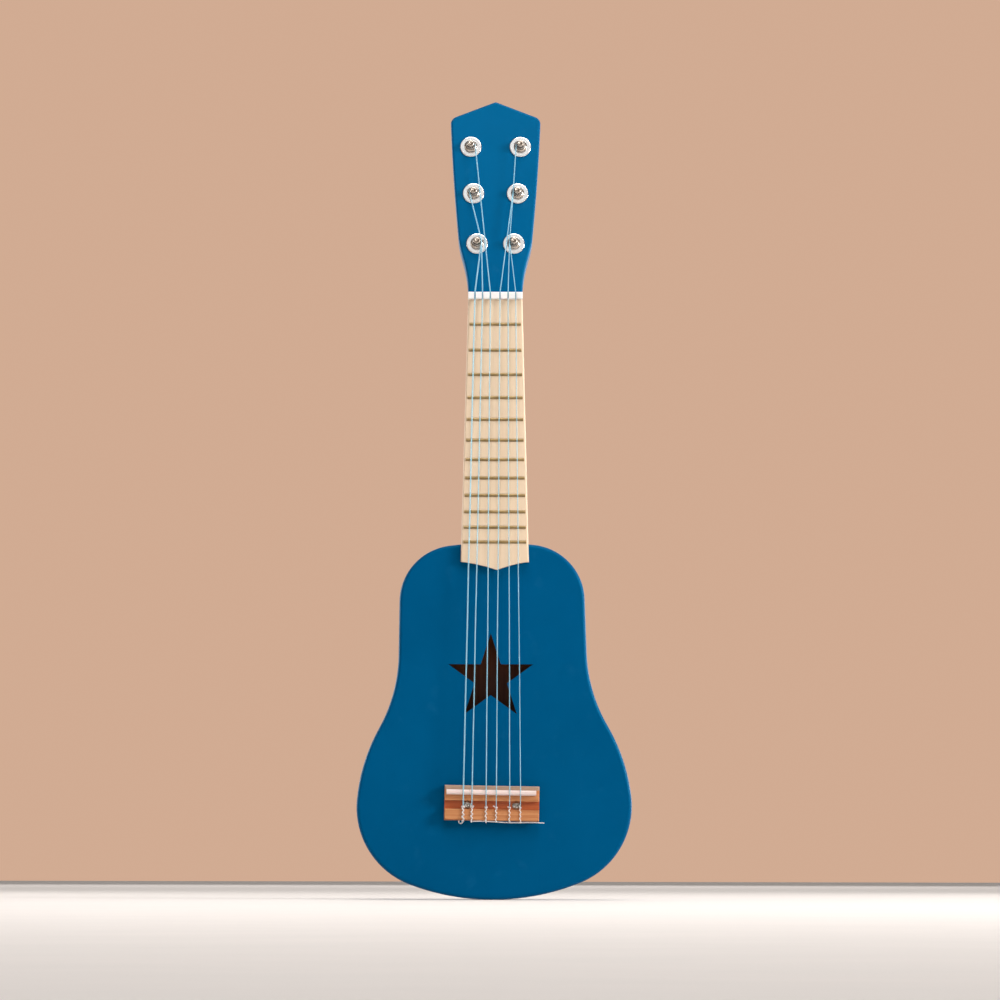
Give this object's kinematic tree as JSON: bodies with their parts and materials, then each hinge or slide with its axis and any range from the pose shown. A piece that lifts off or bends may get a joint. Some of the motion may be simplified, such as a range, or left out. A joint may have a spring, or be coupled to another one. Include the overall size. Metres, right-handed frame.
{
  "type": "toy guitar",
  "caption": "Small wooden toy guitar with a blue pear-shaped body, a star-shaped sound hole, a pale fretboard and a sloping pegged head.",
  "frame": {"origin": "bottom of the body on its middle line, half way through the whole depth", "axes": "+Z from the tail to the head, -Y out of the face that carries the strings, +X to the right of somebody looking at the strings"},
  "size_m": [0.1816, 0.061, 0.538],
  "materials": {
    "blue_paint": "satin paint",
    "bare_wood": "unfinished",
    "pale_board": "matt lacquer",
    "bridge_wood": "matt lacquer",
    "fret_brass": "brushed",
    "white_plastic": "satin",
    "knob_plastic": "gloss",
    "tuner_chrome": "polished",
    "screw_steel": "satin",
    "nylon_string": "clear nylon"
  },
  "bodies": {
    "guitar": {"top_plate": "blue_paint", "back_plate": "blue_paint", "side_left": "blue_paint", "side_right": "blue_paint", "neck_block": "bare_wood", "tail_block": "bare_wood", "top_brace_upper": "bare_wood", "top_brace_lower": "bare_wood", "back_brace_upper": "bare_wood", "back_brace_lower": "bare_wood", "bridge_patch": "bare_wood", "neck": "blue_paint", "fretboard": "pale_board", "frets": "fret_brass", "nut": "white_plastic", "bridge": "bridge_wood", "saddle": "white_plastic", "bridge_screws": "screw_steel", "neck_screws": "screw_steel", "tuner_washers": "tuner_chrome", "tuner_ferrule_1": "tuner_chrome", "tuner_ferrule_2": "tuner_chrome", "tuner_ferrule_3": "tuner_chrome", "tuner_ferrule_4": "tuner_chrome", "tuner_ferrule_5": "tuner_chrome", "tuner_ferrule_6": "tuner_chrome", "string_1": "nylon_string", "string_2": "nylon_string", "string_3": "nylon_string", "string_4": "nylon_string", "string_5": "nylon_string", "string_6": "nylon_string"},
    "tuner_1": {"tuner_post_1": "tuner_chrome", "string_winding_1": "nylon_string", "tuner_knob_1": "knob_plastic", "tuner_knob_screw_1": "screw_steel"},
    "tuner_2": {"tuner_post_2": "tuner_chrome", "string_winding_2": "nylon_string", "tuner_knob_2": "knob_plastic", "tuner_knob_screw_2": "screw_steel"},
    "tuner_3": {"tuner_post_3": "tuner_chrome", "string_winding_3": "nylon_string", "tuner_knob_3": "knob_plastic", "tuner_knob_screw_3": "screw_steel"},
    "tuner_4": {"tuner_post_4": "tuner_chrome", "string_winding_4": "nylon_string", "tuner_knob_4": "knob_plastic", "tuner_knob_screw_4": "screw_steel"},
    "tuner_5": {"tuner_post_5": "tuner_chrome", "string_winding_5": "nylon_string", "tuner_knob_5": "knob_plastic", "tuner_knob_screw_5": "screw_steel"},
    "tuner_6": {"tuner_post_6": "tuner_chrome", "string_winding_6": "nylon_string", "tuner_knob_6": "knob_plastic", "tuner_knob_screw_6": "screw_steel"}
  },
  "joints": [
    {"name": "tuner_1_turn", "type": "hinge", "parent": "guitar", "child": "tuner_1", "pos_m": [0.0123, -0.01218, 0.43723], "axis": [0, -0.9781, 0.2079], "continuous": true},
    {"name": "tuner_2_turn", "type": "hinge", "parent": "guitar", "child": "tuner_2", "pos_m": [0.0148, -0.00466, 0.47264], "axis": [0, -0.9781, 0.2079], "continuous": true},
    {"name": "tuner_3_turn", "type": "hinge", "parent": "guitar", "child": "tuner_3", "pos_m": [0.0167, 0.00237, 0.5057], "axis": [0, -0.9781, 0.2079], "continuous": true},
    {"name": "tuner_4_turn", "type": "hinge", "parent": "guitar", "child": "tuner_4", "pos_m": [-0.0167, 0.00237, 0.5057], "axis": [0, -0.9781, 0.2079], "continuous": true},
    {"name": "tuner_5_turn", "type": "hinge", "parent": "guitar", "child": "tuner_5", "pos_m": [-0.0148, -0.00466, 0.47264], "axis": [0, -0.9781, 0.2079], "continuous": true},
    {"name": "tuner_6_turn", "type": "hinge", "parent": "guitar", "child": "tuner_6", "pos_m": [-0.0123, -0.01218, 0.43723], "axis": [0, -0.9781, 0.2079], "continuous": true}
  ]
}
